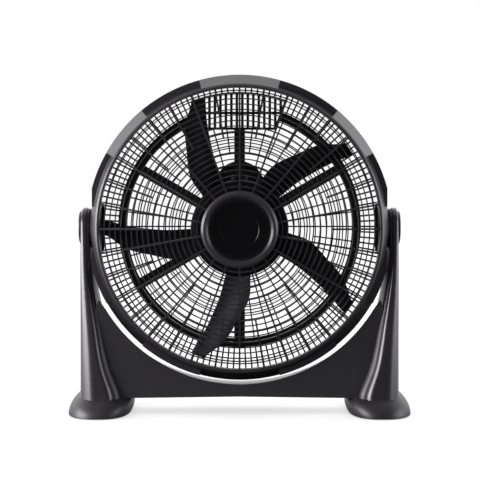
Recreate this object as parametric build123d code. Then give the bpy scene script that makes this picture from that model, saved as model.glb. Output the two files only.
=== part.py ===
from build123d import *
import math
import os

# A floor-standing air circulator fan: a round drum with the blade in it tilts between two columns
# that stand on broad feet and are tied by a web under the drum.
# +X is to the right seen from the front, +Z is up, and the fan blows towards -Y.
# The origin is on the floor, in the middle under the tilt axis. All sizes are in millimetres.

# ---------------------------------------------------------------- driving dimensions
axis_height = 333.0          # tilt axis and fan axis above the floor
seat_gap = 0.3               # gap left between parts of different moving bodies
running_gap = 0.05           # radial clearance of a shaft in its hole

# drum
drum_radius = 273.0
drum_wall = 3.0
mouth_step = 18.0            # how much smaller the front edge's radius is than the drum's
rear_step = 4.5              # and how much smaller the rear edge's is
drum_front = 60.0            # front edge, ahead of the tilt axis
drum_rear = -42.0            # rear edge
front_taper = 35.0           # depth of the taper behind the front edge
rear_taper = 27.0            # depth of the taper before the rear edge
flat_cut = 11.5              # how much the drum's sides are cut flat beside the columns
land_drop = 2.0              # the lands' tops, inside the drum's full radius
land_setback = 12.0          # front faces of the lands, behind the front edge
land_root = 1.5              # how far a land is sunk in the taper
land_spans = [(15.3, 39.7), (60.5, 81.5)]  # degrees from the drum's top, one quarter

# pivot bosses on the drum
boss_radius = 47.0
boss_face_radius = 36.0      # the boss tapers to this at its face
boss_wall = 3.0
boss_height = 5.0            # how far the boss stands out of the flat
boss_depth = 15.0            # how far it reaches into the drum

# front grille
rim_lap = 7.0                # from the drum's front edge in to the grille's openings
rim_face = 8.0               # rim ahead of the drum's front edge
rim_width = 6.5
rim_bevel = 3.0
skirt_depth = 8.0            # rim inside the drum's mouth
dome_rim_height = 3.0        # middle of the bars at the rim, ahead of the drum's front edge
dome_rise = 17.0             # middle of the bars at the hub, above that at the rim
ring_count = 18
ring_pitch = 9.6
ring_width = 2.0
ring_depth = 4.0
spoke_count = 18
spoke_width = 3.2
spoke_depth = 6.0
short_spoke_ring = 9         # the ring where the short spokes start
bar_root = 1.5               # how far a bar's end is sunk in what holds it

# grille hub and badge
hub_radius = 67.5
hub_thickness = 6.0
hub_floor_height = 3.0       # face of the hub's floor, above the bars' middle
bezel_width = 12.5
bezel_height = 7.0
bezel_bevel = 4.0
badge_thickness = 2.4
badge_gap = 0.3
badge_step_radius = 34.0
badge_step = 1.0

# rear guard
guard_depth = 5.0
guard_edge_width = 4.5
guard_plate_radius = 88.0
guard_ring_first = 100.0
guard_ring_pitch = 12.0
guard_ring_count = 9
guard_ring_width = 2.2
guard_spoke_count = 24
guard_spoke_width = 2.6
guard_short_ring = 3         # ring where the spokes between the main spokes start
band_inner = 206.0
band_width = 16.5
outer_ring_inset = 19.5      # the guard's last ring, inside its outer edge
outer_bar_count = 144
outer_bar_width = 3.0
strut_count = 6
strut_width = 19.8
ear_radius = 6.5

# hand hold in the guard
hold_bottom = 176.5          # floor of the hold above the fan axis
hold_inset = 24.0            # the hold's arched roof, inside the guard's outer edge
hold_half_angle = 20.5
hold_depth = 30.0            # from the guard's rear face to the slatted wall's rear face
hold_wall = 4.0
slat_pitch = 9.9
slat_width = 4.9
hold_bar_height = 206.5      # cross bar above the fan axis
hold_bar_width = 4.5

# rotor
tip_inset = 13.0             # blade tips, inside the drum's front edge
rotor_hub_radius = 86.0
rotor_hub_front = 40.0
rotor_hub_depth = 38.0
rotor_hub_wall = 3.0
rotor_boss_radius = 12.0
rotor_boss_length = 24.0
rotor_edge_round = 8.0
blade_count = 5
blade_thickness = 2.4
blade_camber = 0.07          # bulge of a blade, as a share of its chord
blade_start_angle = 33.0     # degrees from +X to the straight edge at the tip of the first blade
shaft_radius = 4.0
spinner_radius = 13.0
spinner_length = 15.0

# motor
motor_radius = 50.0
stator_length = 30.0
stator_bore = 25.0
air_gap = 0.5
bell_depth = 10.0
bell_wall = 2.5
winding_inner = 28.0
winding_gap = 0.5            # between the windings and the posts of the motor's bolts
winding_length = 6.0
bearing_radius = 9.0
bearing_length = 8.0
bolt_inset = 6.0             # the motor's bolts, inside its outer radius
bolt_radius = 2.0
bolt_count = 4
bolt_head_radius = 3.8
bolt_head_height = 3.0

# rear cover, switch and knob
cover_radius = 62.0
cover_lobe_radius = 45.0
cover_lobe_height = 75.0     # centre of the lobe above the fan axis
cover_depth = 25.0
cover_wall = 2.5
cover_round = 6.0
cover_screw_inset = 12.0     # the cover's screws, inside its edge
screw_radius = 1.75
screw_head_radius = 3.5
screw_head_height = 2.0
screw_post_radius = 4.5
switch_width = 30.0
switch_depth = 14.0
switch_neck_radius = 5.0
spindle_radius = 3.0
knob_radius = 19.0
knob_height = 15.0
knob_skirt = 4.0
knob_grip_width = 9.0
capacitor_size = (36.0, 20.0, 13.0)
capacitor_drop = 26.0        # centre of the capacitor below the fan axis
gland_radius = 6.5
gland_bore = 3.6
gland_step = 1.5             # the gland's neck, inside its collar's radius
gland_reach = 7.0            # how far the gland stands out of the cover
lead_radius = 1.2
lead_pitch = 5.0
lead_bend = 8.0

# columns
column_top_radius = 36.0
column_width = 16.0          # across the column at the tilt axis
column_foot_half_depth = 78.0
column_foot_spread = 54.0    # how much further in the column's inner side is at its base
column_straight = 40.0       # the column's sides run straight up from this far below the axis
column_base = 20.0           # lowest section, which the foot's dome trims
column_wall = 3.0
liner_thickness = 4.5         # at the column's head
liner_foot_thickness = 10.8
liner_setback = 2.0          # how far the liner's front and rear lie within the shell's
liner_foot_setback = 8.0
column_top_round = 5.0       # the shell's outer corners
column_foot_round = 30.0
seam_top_round = 2.5         # the corners at the joint between shell and liner
seam_foot_round = 14.0
liner_round_share = 1.1      # the liner's inner corners, as a share of those
outer_round_share = 0.6      # most that the shell's corners take of its width
seam_round_share = 0.3
column_floor = 56.0
# share of the way from the base to the straight part, and how far the inner side has moved out there
column_swing = [(0.174, 0.19), (0.30, 0.405), (0.49, 0.595), (0.68, 0.79), (0.85, 0.93), (0.93, 0.975)]

# pivot
stud_radius = 6.0
stud_head_radius = 11.0
stud_head_height = 5.0
pivot_post_radius = 16.0
friction_washer_radius = 20.0
friction_washer_thickness = 0.7
nut_radius = 9.5
nut_thickness = 6.5
nut_washer_radius = 12.0
nut_washer_thickness = 1.2
cap_radius = 29.8
cap_thickness = 4.4
cap_round = 2.0

# web between the columns
swing_gap = 2.25             # between the web's arch and the drum's furthest corner as it tilts
web_half_depth = 49.0
web_wall = 2.5
web_bottom_middle = 33.5
web_bottom_side = 31.0
web_peak_inset = 17.5        # the web's two peaks, inside the columns' inner sides
web_peak_drop = 126.0        # and below the tilt axis
web_end_drop = 177.0
web_rear_radius = 332.0      # the arch's rear edge is flatter
web_rear_drop = 8.0          # and its lowest point lies this far below the front edge's

# feet
foot_inset = 17.5            # the feet's middles, inside the columns' inner sides
foot_half_width = 58.0       # from the foot's middle to its outer side
foot_inner_half_width = 53.0
foot_inner_swell = 0.53      # how much the inner side swells above the floor, as a share of that
foot_half_length = 100.0
foot_height = 48.0
foot_top = 44.0              # the dome is cut flat there, under the column
foot_squareness = 2.5        # 2 would be an ellipse in plan
foot_outline_points = 24
foot_level_count = 6
foot_wall = 3.0
foot_clearance = 1.2         # foot's rim above the floor
pad_radius = 9.0
pad_thickness = 3.0
pad_post_radius = 11.0
pad_half_width = 28.0
pad_half_length = 55.0
foot_screw_half_length = 30.0
foot_screw_flat = 38.0       # seat of the foot's screws above the floor
foot_screw_length = 24.0

# ---------------------------------------------------------------- values worked out from them
mouth_radius = drum_radius - mouth_step
drum_rear_radius = drum_radius - rear_step
flat_half_width = drum_radius - flat_cut
land_radius = drum_radius - land_drop
drum_taper_end = drum_front - front_taper
drum_straight_end = drum_rear + rear_taper
boss_face = flat_half_width + boss_height
column_inner = boss_face + seat_gap + friction_washer_thickness
column_outer = column_inner + column_width
column_foot_inner = column_inner - column_foot_spread
foot_centre = column_inner - foot_inset
grille_inner = mouth_radius - rim_lap
bars_at_rim = drum_front + dome_rim_height
dome_radius = (grille_inner**2 - hub_radius**2) / (2 * dome_rise) + dome_rise / 2
guard_front = drum_rear
guard_rear = guard_front - guard_depth
band_outer = band_inner + band_width
guard_outer = drum_rear_radius
outer_ring_radius = guard_outer - outer_ring_inset
hold_outer = guard_outer - hold_inset
drum_corners = [
    (land_radius, drum_front - land_setback),
    (drum_radius, drum_taper_end),
    (guard_outer, guard_rear),
]
web_radius = max(math.hypot(*corner) for corner in drum_corners) + swing_gap
web_peak_half_width = column_inner - web_peak_inset
tip_radius = mouth_radius - tip_inset
bolt_circle = motor_radius - bolt_inset
winding_outer = bolt_circle - bolt_radius - bell_wall - winding_gap
slat_back = guard_rear + hold_depth
slat_front = slat_back + hold_wall
stator_rear = guard_front + bell_depth
stator_front = stator_rear + stator_length
motor_front = stator_front + bell_depth
shaft_rear = guard_front - 2.0
rotor_hub_rear = rotor_hub_front - rotor_hub_depth
cover_rear = guard_rear - cover_depth
cover_inside = cover_rear + cover_wall

# the fan's own frame: x to the right, y up, z to the front, centred where the axes cross
FAN = Plane(origin=(0, 0, axis_height), x_dir=(1, 0, 0), z_dir=(0, -1, 0))
BOTTOM = (Align.CENTER, Align.CENTER, Align.MIN)
os.makedirs("parts", exist_ok=True)


# ---------------------------------------------------------------- small helpers
def bar_z(radius, low, high, x=0.0, y=0.0):
    """A round bar along Z."""
    return Pos(x, y, low) * Cylinder(radius, high - low, align=BOTTOM)


def bar_x(radius, start, end, y=0.0, z=0.0):
    """A round bar along X."""
    middle = (start + end) / 2
    return Pos(middle, y, z) * Rot(0, 90, 0) * Cylinder(radius, abs(end - start))


def block(x_span, y_span, z_span):
    """A box between two values on each axis."""
    spans = (x_span, y_span, z_span)
    sizes = [abs(high - low) for low, high in spans]
    middle = [(low + high) / 2 for low, high in spans]
    return Pos(*middle) * Box(*sizes)


def turned(points, angle=360.0):
    """An outline of (radius, z) points turned about the Z axis, starting at +X."""
    outline = Wire.make_polygon([Vector(r, 0, z) for r, z in points], close=True)
    return revolve(Face(outline), Axis.Z, angle)


def joined(shapes):
    """One solid from many that overlap."""
    return shapes[0].fuse(*shapes[1:])


def around_z(shape, count, start=0.0):
    """Copies of a shape set evenly about the Z axis."""
    return [shape.rotate(Axis.Z, start + 360.0 * k / count) for k in range(count)]


def mirrored(shape):
    """A shape and its twin on the other side of the fan's middle."""
    return [shape, mirror(shape, about=Plane.YZ)]


def group(shapes):
    """Separate solids that share one name."""
    return Compound(children=[solid for shape in shapes for solid in shape.solids()])


def save(name, shape, on_fan=False):
    """Write a piece, moved from the fan's own frame where it is drawn in it."""
    placed = FAN.location * shape if on_fan else shape
    export_step(placed, f"parts/{name}.step")


# ---------------------------------------------------------------- drum
def drum_profile(wall, reach):
    """Outline of the drum's side, moved in by wall and run past both ends by reach."""
    return [
        (0, drum_front + reach),
        (mouth_radius - wall, drum_front + reach),
        (mouth_radius - wall, drum_front),
        (drum_radius - wall, drum_taper_end),
        (drum_radius - wall, drum_straight_end),
        (drum_rear_radius - wall, drum_rear),
        (drum_rear_radius - wall, drum_rear - reach),
        (0, drum_rear - reach),
    ]


def drum_slab(half_width):
    """Everything between the two flat sides."""
    return Box(2 * half_width, 3 * drum_radius, 4 * drum_radius)


def drum_lands():
    """Raised lands on the front taper, two in each quarter."""
    slope = (drum_radius - mouth_radius) / front_taper
    face = drum_front - land_setback
    face_radius = mouth_radius + slope * land_setback
    end = drum_front - (land_radius - mouth_radius) / slope
    outline = [
        (face_radius - land_root, face),
        (land_radius, face),
        (land_radius, end),
        (land_radius - land_root, end),
    ]
    lands = []
    for start, stop in land_spans:
        land = turned(outline, stop - start)
        lands += [land.rotate(Axis.Z, 90 - stop + turn) for turn in (0, 180)]
        lands += [land.rotate(Axis.Z, 90 + start + turn) for turn in (0, 180)]
    return lands


def guard_screw_places():
    """Where the guard is screwed on, beside the pivot bosses."""
    side = flat_half_width - drum_wall / 2 - screw_post_radius
    up = boss_radius - 3.5 * screw_post_radius
    return [(sx * side, sy * up) for sx in (-1, 1) for sy in (-1, 1)]


def boss_cone():
    """The part of a pivot boss that stands out of the drum's flat."""
    cone = Cone(boss_radius, boss_face_radius, boss_height, align=BOTTOM)
    return Pos(flat_half_width, 0, 0) * Rot(0, 90, 0) * cone


def drum():
    outer = turned(drum_profile(0.0, 0.0)) & drum_slab(flat_half_width)
    inner_side = flat_half_width - drum_wall
    hollow = turned(drum_profile(drum_wall, 1.0)) & drum_slab(inner_side)
    boss_start = boss_face - boss_height - boss_depth
    bosses = mirrored(bar_x(boss_radius, boss_start, flat_half_width) + boss_cone())
    across = (-2 * drum_radius, 2 * drum_radius)
    behind = block(across, (-boss_radius, boss_radius), (drum_rear - boss_radius, drum_rear))
    places = guard_screw_places()
    posts = [bar_z(screw_post_radius, drum_rear, drum_rear + boss_radius / 2, x, y) for x, y in places]
    lands = [land & drum_slab(flat_half_width) for land in drum_lands()]
    body = joined([outer - hollow] + lands + bosses + posts)
    cup = bar_x(boss_radius - boss_wall, boss_start - 1, inner_side)
    cup += bar_x(boss_face_radius - boss_wall, boss_start - 1, flat_half_width)
    cup_rear = (drum_rear - boss_radius, drum_rear + boss_wall)
    cup -= block((0, boss_face), (-boss_radius, boss_radius), cup_rear)
    bore = bar_x(stud_radius + running_gap, flat_half_width - 1, boss_face + 1)
    holes = [bar_z(screw_radius, drum_rear - 1, drum_rear + boss_radius / 3, x, y) for x, y in places]
    body -= [behind] + mirrored(cup) + mirrored(bore) + holes
    return body


# ---------------------------------------------------------------- front grille
def dome(radius, offset=0.0):
    """Height of the grille's dome, a part of a sphere, at a radius."""
    sphere = dome_radius + offset
    drop = dome_radius - bars_at_rim - dome_rise
    crown = math.sqrt(dome_radius**2 - hub_radius**2) - dome_radius
    return math.sqrt(sphere**2 - radius**2) - drop - crown


def dome_spoke(start, end):
    """A radial plate along +X whose front and back follow the dome."""
    middle = (start + end) / 2
    half = spoke_depth / 2
    back = [Vector(r, 0, dome(r, -half)) for r in (start, middle, end)]
    front = [Vector(r, 0, dome(r, half)) for r in (end, middle, start)]
    outline = Wire([
        Edge.make_three_point_arc(*back),
        Edge.make_line(back[2], front[0]),
        Edge.make_three_point_arc(*front),
        Edge.make_line(front[2], back[0]),
    ])
    return extrude(Face(outline), spoke_width / 2, dir=(0, 1, 0), both=True)


def grille_ring_radii():
    return [grille_inner - ring_pitch * (ring_count - k) for k in range(ring_count)]


def grille_ring(radius):
    height = dome(radius)
    return turned([
        (radius - ring_width / 2, height - ring_depth / 2),
        (radius + ring_width / 2, height - ring_depth / 2),
        (radius + ring_width / 2, height + ring_depth / 2),
        (radius - ring_width / 2, height + ring_depth / 2),
    ])


def grille_rim():
    face = drum_front + rim_face
    plug = mouth_radius - drum_wall - badge_gap
    outside = grille_inner + rim_width
    return turned([
        (grille_inner, drum_front - skirt_depth),
        (plug, drum_front - skirt_depth),
        (plug, drum_front),
        (outside, drum_front),
        (outside, face - rim_bevel),
        (outside - rim_bevel, face),
        (grille_inner, face),
    ])


def hub_levels():
    """Back, floor and bezel face of the grille's hub."""
    floor = dome(hub_radius) + hub_floor_height
    return floor - hub_thickness, floor, floor + bezel_height


def grille_hub():
    back, floor, face = hub_levels()
    seat = hub_radius - bezel_width
    crest = bezel_width - 2 * bezel_bevel
    return turned([
        (0, back),
        (hub_radius, back),
        (hub_radius, face - bezel_bevel),
        (hub_radius - bezel_bevel, face),
        (hub_radius - bezel_bevel - crest, face),
        (seat, face - bezel_bevel),
        (seat, floor),
        (0, floor),
    ])


def front_grille():
    rings = [grille_ring(radius) for radius in grille_ring_radii()]
    turn = 180.0 / spoke_count
    full = dome_spoke(hub_radius - bar_root, grille_inner + bar_root)
    short = dome_spoke(grille_ring_radii()[short_spoke_ring], grille_inner + bar_root)
    spokes = around_z(full, spoke_count, turn) + around_z(short, spoke_count)
    return joined([grille_rim(), grille_hub()] + rings + spokes)


def hub_badge():
    """A plain dished disc in the grille's hub."""
    floor = hub_levels()[1]
    edge = hub_radius - bezel_width - badge_gap
    top = floor + badge_thickness
    return turned([
        (0, floor),
        (edge, floor),
        (edge, top),
        (badge_step_radius, top - badge_step / 2),
        (badge_step_radius - badge_step, top - badge_step),
        (0, top - badge_step),
    ])


# ---------------------------------------------------------------- rear guard
def flat_ring(inner, outer):
    return bar_z(outer, guard_rear, guard_front) - bar_z(inner, guard_rear - 1, guard_front + 1)


def flat_spoke(start, end, width):
    return block((start, end), (-width / 2, width / 2), (guard_rear, guard_front))


def guard_outline(inset, low, high):
    """The guard's outline, a circle with flat sides, between two depths."""
    return bar_z(guard_outer - inset, low, high) & drum_slab(flat_half_width - inset)


def guard_bars():
    """Rings, spokes, struts and outer bars in one flat layer."""
    rings = [bar_z(guard_plate_radius, guard_rear, guard_front), flat_ring(band_inner, band_outer)]
    radii = [guard_ring_first + guard_ring_pitch * k for k in range(guard_ring_count)]
    for radius in radii + [outer_ring_radius]:
        rings.append(flat_ring(radius - guard_ring_width / 2, radius + guard_ring_width / 2))
    main = flat_spoke(guard_plate_radius - bar_root, band_inner + bar_root, guard_spoke_width)
    second = flat_spoke(radii[guard_short_ring], band_inner + bar_root, guard_spoke_width)
    strut = flat_spoke(guard_plate_radius - bar_root, band_inner + bar_root, strut_width)
    outer = flat_spoke(band_outer - bar_root, guard_outer, outer_bar_width)
    spokes = around_z(main, guard_spoke_count)
    spokes += around_z(second, guard_spoke_count, 180.0 / guard_spoke_count)
    spokes += around_z(strut, strut_count, 180.0 / strut_count)
    bars = around_z(outer, outer_bar_count)
    ears = [bar_z(ear_radius, guard_rear, guard_front, x, y) for x, y in guard_screw_places()]
    edge = guard_outline(0, guard_rear, guard_front)
    edge -= guard_outline(guard_edge_width, guard_rear - 1, guard_front + 1)
    return joined([edge] + rings + spokes + bars + ears)


def hold_region(inset, low, high):
    """The hand hold's outline: a sector with a straight floor, moved in by inset."""
    outer = hold_outer - inset
    floor = hold_bottom + inset
    half = math.radians(hold_half_angle)
    shift = inset / math.sin(half)
    reach = 2 * hold_outer
    wedge = Polyline(
        (0, shift),
        (reach * math.sin(half), shift + reach * math.cos(half)),
        (-reach * math.sin(half), shift + reach * math.cos(half)),
        close=True,
    )
    sector = extrude(make_face(wedge), high - low)
    above = block((-reach, reach), (floor, reach), (low, high))
    return (Pos(0, 0, low) * sector) & bar_z(outer, low, high) & above


def hand_hold():
    """A tray open to the rear, with a slatted front wall."""
    tray = hold_region(0, guard_rear, slat_front) - hold_region(hold_wall, guard_rear - 1, slat_back)
    gaps = hold_region(hold_wall, slat_back - 1, slat_front + 1)
    middle = hold_bar_width / 2
    depth = (slat_back - 2, slat_front + 2)
    bar = block((-hold_outer, hold_outer), (hold_bar_height - middle, hold_bar_height + middle), depth)
    half_count = math.ceil(hold_outer * math.sin(math.radians(hold_half_angle)) / slat_pitch)
    slats = []
    for k in range(-half_count, half_count):
        centre = (k + 0.5) * slat_pitch
        span = (centre - slat_width / 2, centre + slat_width / 2)
        slats.append(block(span, (hold_bottom - 1, hold_outer + 1), depth))
    return tray - (gaps - slats - bar)


def rear_guard():
    bars = guard_bars() & guard_outline(0, guard_rear, guard_front)
    body = joined([bars - hold_region(0, guard_rear - 1, guard_front + 1), hand_hold()])
    low, high = guard_rear - 1, guard_front + 1
    holes = [bar_z(screw_radius + running_gap, low, high, x, y) for x, y in guard_screw_places()]
    holes += [bar_z(screw_radius, low, high, x, y) for x, y in cover_screw_places()]
    holes += bolt_bars(bolt_radius + running_gap, low, high) + [bar_z(bearing_radius + 1, low, high)]
    return body - holes - lead_slot(low, high)


def guard_screws():
    screws = []
    for x, y in guard_screw_places():
        shank = bar_z(screw_radius, guard_rear, guard_front + boss_radius / 4, x, y)
        head = bar_z(screw_head_radius, guard_rear - screw_head_height, guard_rear, x, y)
        screws.append(shank + head)
    return group(screws)


# ---------------------------------------------------------------- motor
def bolt_bars(radius, low, high):
    """Round bars at the motor's through bolts."""
    bar = bar_z(radius, low, high, bolt_circle)
    return around_z(bar, bolt_count, 180.0 / bolt_count)


def motor_bell(outer_end, inner_end):
    """One end cap of the motor, a cup that holds a bearing."""
    low, high = sorted((outer_end, inner_end))
    cup = bar_z(motor_radius, low, high)
    wall_end = outer_end + math.copysign(bell_wall, inner_end - outer_end)
    hollow_low, hollow_high = sorted((wall_end, inner_end))
    cavity = bar_z(motor_radius - bell_wall, hollow_low, hollow_high)
    boss = bar_z(bearing_radius + bell_wall, low, high)
    posts = bolt_bars(bolt_radius + bell_wall, low, high)
    body = (cup - cavity) + boss + posts
    body &= bar_z(motor_radius, low, high)
    holes = bolt_bars(bolt_radius + running_gap, low - 1, high + 1)
    return body - holes - bar_z(bearing_radius, low - 1, high + 1)


def stator_core():
    core = bar_z(motor_radius, stator_rear, stator_front)
    bore = bar_z(stator_bore, stator_rear - 1, stator_front + 1)
    return core - bore - bolt_bars(bolt_radius + running_gap, stator_rear - 1, stator_front + 1)


def stator_windings():
    ring = bar_z(winding_outer, 0, winding_length) - bar_z(winding_inner, -1, winding_length + 1)
    ring = fillet(ring.edges(), winding_length / 4)
    return group([Pos(0, 0, stator_front) * ring, Pos(0, 0, stator_rear - winding_length) * ring])


def bearing(low):
    sleeve = bar_z(bearing_radius, low, low + bearing_length)
    return sleeve - bar_z(shaft_radius + running_gap, low - 1, low + bearing_length + 1)


def motor_bolts():
    """Through bolts that clamp the motor to the guard's plate."""
    shanks = bolt_bars(bolt_radius, guard_rear - bolt_head_height, motor_front)
    heads = bolt_bars(bolt_head_radius, motor_front, motor_front + bolt_head_height)
    return group([shank + head for shank, head in zip(shanks, heads)])


def motor_nuts():
    bars = bolt_bars(bolt_head_radius, guard_rear - bolt_head_height, guard_rear)
    holes = bolt_bars(bolt_radius + running_gap, guard_rear - bolt_head_height - 1, guard_rear + 1)
    return group([bar - hole for bar, hole in zip(bars, holes)])


def rotor_core():
    core = bar_z(stator_bore - air_gap, stator_rear, stator_front)
    return core - bar_z(shaft_radius, stator_rear - 1, stator_front + 1)


def motor_shaft():
    return bar_z(shaft_radius, shaft_rear, rotor_hub_front + spinner_length * 0.6)


# ---------------------------------------------------------------- blade wheel
# radius as a share of the way from the hub to the tip, the blade's two edges in degrees after the
# first blade's straight edge at the tip, and half of the blade's depth along the axis
blade_stations = [
    (-0.04, 5.0, 36.0, 16.5),
    (0.14, 5.0, 31.0, 16.5),
    (0.37, 4.5, 24.0, 15.5),
    (0.60, 3.0, 17.0, 13.5),
    (0.795, 1.5, 12.0, 11.5),
    (0.92, 0.3, 7.5, 8.5),
    (1.0, 0.0, 6.0, 7.0),
]


def blade_section(station):
    """A thin cambered section of a blade, square to the radius at its middle."""
    share, straight_edge, swept_edge, half_depth = station
    radius = rotor_hub_radius + share * (tip_radius - rotor_hub_radius)
    middle = math.radians(blade_start_angle + (straight_edge + swept_edge) / 2)
    half_angle = math.radians((swept_edge - straight_edge) / 2)
    half_width = radius * math.tan(half_angle)
    height = (rotor_hub_front + rotor_hub_rear) / 2
    origin = (radius * math.cos(middle), radius * math.sin(middle), height)
    outward = (math.cos(middle), math.sin(middle), 0)
    plane = Plane(origin=origin, x_dir=(-math.sin(middle), math.cos(middle), 0), z_dir=outward)
    chord = 2 * math.hypot(half_width, half_depth)
    bulge = blade_camber * chord
    along = (half_width * 2 / chord, half_depth * 2 / chord)
    across = (-along[1], along[0])

    def point(t, n):
        return (t * along[0] + n * across[0], t * along[1] + n * across[1])

    half = chord / 2
    edge = blade_thickness / 4
    ends = [point(-half, -edge), point(half, -edge), point(half, edge), point(-half, edge)]
    tops = [point(0, bulge - 2 * edge), point(0, bulge + 2 * edge)]
    outline = Wire([
        Edge.make_three_point_arc(ends[0], tops[0], ends[1]),
        Edge.make_line(ends[1], ends[2]),
        Edge.make_three_point_arc(ends[2], tops[1], ends[3]),
        Edge.make_line(ends[3], ends[0]),
    ])
    return plane * Face(outline)


def blade_wheel():
    hub = bar_z(rotor_hub_radius, rotor_hub_rear, rotor_hub_front)
    hub = fillet(hub.edges().group_by(Axis.Z)[-1], rotor_edge_round)
    blade = loft([blade_section(station) for station in blade_stations])
    body = joined([hub] + around_z(blade, blade_count))
    body -= bar_z(rotor_hub_radius - rotor_hub_wall, rotor_hub_rear - 1, rotor_hub_front - rotor_hub_wall)
    boss = bar_z(rotor_boss_radius, rotor_hub_front - rotor_boss_length, rotor_hub_front)
    body = body + boss
    return body - bar_z(shaft_radius, rotor_hub_rear - 1, rotor_hub_front + 1)


def spinner():
    """The domed nut that holds the blade wheel on the shaft."""
    nut = bar_z(spinner_radius, rotor_hub_front, rotor_hub_front + spinner_length)
    nut = fillet(nut.edges().group_by(Axis.Z)[-1], spinner_radius / 2)
    return nut - bar_z(shaft_radius, rotor_hub_front - 1, rotor_hub_front + spinner_length * 0.6)


# ---------------------------------------------------------------- rear cover, switch and knob
def cover_outline(inset):
    """A face round the motor's circle and the switch's smaller circle above it."""
    low = cover_radius - inset
    top = cover_lobe_radius - inset
    slope = math.asin((low - top) / cover_lobe_height)
    side, rise = math.cos(slope), math.sin(slope)
    outline = Wire([
        Edge.make_line((low * side, low * rise), (top * side, cover_lobe_height + top * rise)),
        Edge.make_three_point_arc(
            (top * side, cover_lobe_height + top * rise),
            (0, cover_lobe_height + top),
            (-top * side, cover_lobe_height + top * rise),
        ),
        Edge.make_line((-top * side, cover_lobe_height + top * rise), (-low * side, low * rise)),
        Edge.make_three_point_arc((-low * side, low * rise), (0, -low), (low * side, low * rise)),
    ])
    return Face(outline)


def cover_screw_places():
    """One on each side of the motor's axis and one above the switch."""
    side = cover_radius - cover_screw_inset
    return [(-side, 0), (side, 0), (0, cover_lobe_height + cover_lobe_radius - cover_screw_inset)]


def gland_middle():
    """Depth of the supply's way into the cover."""
    return (guard_rear + cover_inside) / 2


def gland_bar(radius, start, end):
    """A round bar along the fan's height, below the cover, between two heights."""
    bar = Rot(90, 0, 0) * Cylinder(radius, abs(end - start))
    return Pos(0, (start + end) / 2, gland_middle()) * bar


def motor_cover():
    body = Pos(0, 0, cover_rear) * extrude(cover_outline(0), cover_depth)
    body = fillet(body.edges().group_by(Axis.Z)[0], cover_round)
    body -= Pos(0, 0, cover_inside) * extrude(cover_outline(cover_wall), cover_depth)
    places = cover_screw_places()
    posts = [bar_z(screw_post_radius, cover_rear + cover_wall / 2, guard_rear, x, y) for x, y in places]
    body = joined([body] + posts)
    holes = [bar_z(screw_radius + running_gap, cover_rear - 1, guard_rear + 1, x, y) for x, y in places]
    holes.append(bar_z(switch_neck_radius, cover_rear - 1, cover_inside + 1, 0, cover_lobe_height))
    holes.append(gland_bar(gland_radius - gland_step, -cover_radius - 1, cover_wall + 2 - cover_radius))
    return body - holes


def cover_screws():
    screws = []
    for x, y in cover_screw_places():
        shank = bar_z(screw_radius, cover_rear, guard_front, x, y)
        head = bar_z(screw_head_radius, cover_rear - screw_head_height, cover_rear, x, y)
        screws.append(shank + head)
    return group(screws)


def cord_gland():
    """The bush in the cover where the supply comes in."""
    outside = -cover_radius
    inside = seat_gap - math.sqrt((cover_radius - cover_wall) ** 2 - gland_radius**2)
    collar = gland_bar(gland_radius, outside - gland_reach, outside - seat_gap)
    neck = gland_bar(gland_radius - gland_step, outside - 1, inside + gland_step)
    lip = gland_bar(gland_radius, inside, inside + gland_step)
    bore = gland_bar(gland_bore, outside - gland_reach - 1, inside + gland_reach)
    return (collar + neck + lip) - bore


def speed_switch():
    half = switch_width / 2
    low = cover_lobe_height - half
    body = block((-half, half), (low, low + switch_width), (cover_inside, cover_inside + switch_depth))
    neck = bar_z(switch_neck_radius, cover_rear, cover_inside + 1, 0, cover_lobe_height)
    bore_end = cover_inside + switch_depth / 2
    bore = bar_z(spindle_radius + running_gap, cover_rear - 1, bore_end, 0, cover_lobe_height)
    return body + neck - bore


def switch_spindle():
    start = cover_rear - knob_height + 3
    end = cover_inside + switch_depth / 2 - seat_gap
    return bar_z(spindle_radius, start, end, 0, cover_lobe_height)


def speed_knob():
    """A round knob with a raised grip bar and a marker ridge on it."""
    face = cover_rear - seat_gap
    skirt = bar_z(knob_radius, face - knob_skirt, face, 0, cover_lobe_height)
    low, high = cover_lobe_height - knob_radius + 1, cover_lobe_height + knob_radius - 1
    half = knob_grip_width / 2
    grip = block((-half, half), (low, high), (cover_rear - knob_height, face - knob_skirt / 2))
    grip &= bar_z(knob_radius - 1, cover_rear - knob_height, face, 0, cover_lobe_height)
    marker = block((-1, 1), (high - 6, high - 1), (cover_rear - knob_height - 0.6, face - knob_skirt / 2))
    bore = bar_z(spindle_radius, cover_rear - knob_height + 3, face + 1, 0, cover_lobe_height)
    return skirt + grip + marker - bore


def capacitor():
    width, height, depth = capacitor_size
    low = -capacitor_drop - height / 2
    body = block((-width / 2, width / 2), (low, low + height), (cover_inside, cover_inside + depth))
    return fillet(body.edges().filter_by(Axis.Z), 3)


def lead_height():
    """Where the motor's leads leave its windings, above the fan axis."""
    return (winding_inner + winding_outer) / 2


def lead_slot(low, high):
    """A slot in the motor's rear bell and in the guard's plate for the motor's leads."""
    half = lead_pitch + 2 * lead_radius
    middle = lead_height()
    return block((-half, half), (middle - 2 * lead_radius, middle + 2 * lead_radius), (low, high))


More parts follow.
